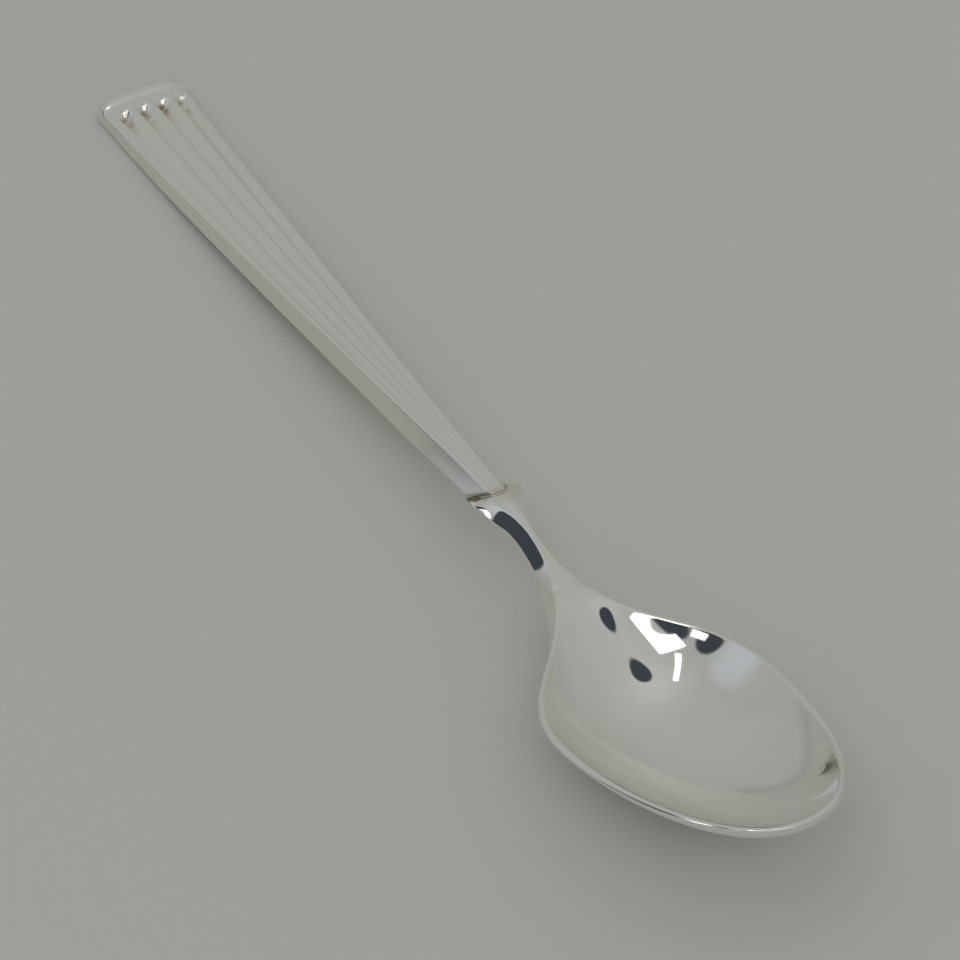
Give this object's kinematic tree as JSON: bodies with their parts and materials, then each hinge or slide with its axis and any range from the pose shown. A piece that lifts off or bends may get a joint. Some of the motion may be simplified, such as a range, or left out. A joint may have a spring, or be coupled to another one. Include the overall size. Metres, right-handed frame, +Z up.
{
  "type": "demitasse spoon",
  "caption": "Small polished silver demitasse spoon with a pointed oval bowl, a waisted neck and a tapering fluted handle soldered to the neck's flared shoulder.",
  "frame": {"origin": "middle of the spoon's length and width, on the table that it lies on", "axes": "+X along the spoon toward the bowl's nose, +Y to the left seen from the handle, +Z up out of the bowl"},
  "size_m": [0.098, 0.0168, 0.0101],
  "materials": {
    "silver_handle": "softly polished silver",
    "tarnished_solder": "tarnished silver solder",
    "silver_bowl": "mirror polished silver"
  },
  "bodies": {
    "root": {"handle": "silver_handle", "solder_seam": "tarnished_solder", "bowl": "silver_bowl"}
  },
  "joints": []
}
